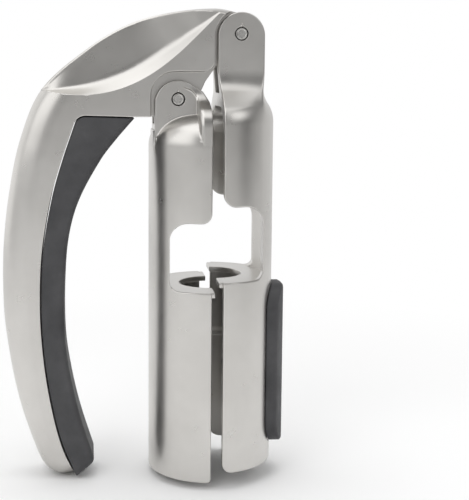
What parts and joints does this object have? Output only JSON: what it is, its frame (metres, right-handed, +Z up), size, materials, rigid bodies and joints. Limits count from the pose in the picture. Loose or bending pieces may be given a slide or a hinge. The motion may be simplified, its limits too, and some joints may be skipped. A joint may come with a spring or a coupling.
{
  "type": "champagne opener",
  "caption": "Metal sparkling-wine cork puller: two half-shell jaws that close round a bottle's neck, hung on a cranked lever whose curved handle has a black rubber finger grip.",
  "frame": {"origin": "middle of the footprint, at the height of the handle's tip, the lowest point", "axes": "+Z up along the closed jaws, +X from the handle to the rear jaw, +Y from the pictured side to the back; the opener is the same on both sides of the XZ plane but for the rivets"},
  "size_m": [0.0854, 0.0372, 0.1413],
  "materials": {
    "satin_nickel": "satin nickel plate on a smooth casting",
    "black_rubber": "matte, soft to the touch",
    "polished_steel": "polished rivet end"
  },
  "bodies": {
    "rear_shell": {"rear_jaw": "satin_nickel", "rear_jaw_pad": "black_rubber", "upper_pivot_pin": "polished_steel"},
    "lever": {"lever_body": "satin_nickel", "lever_grip": "black_rubber", "lower_pivot_pin": "polished_steel"},
    "front_shell": {"front_jaw": "satin_nickel"}
  },
  "joints": [
    {"name": "lever_swing", "type": "hinge", "parent": "rear_shell", "child": "lever", "pos_m": [0.02826, 0, 0.1337], "axis": [0, 1, 0], "range_deg": [0, 75]},
    {"name": "front_jaw_swing", "type": "hinge", "parent": "lever", "child": "front_shell", "pos_m": [0.00976, 0, 0.1147], "axis": [0, 1, 0], "range_deg": [0, 6.5]}
  ]
}
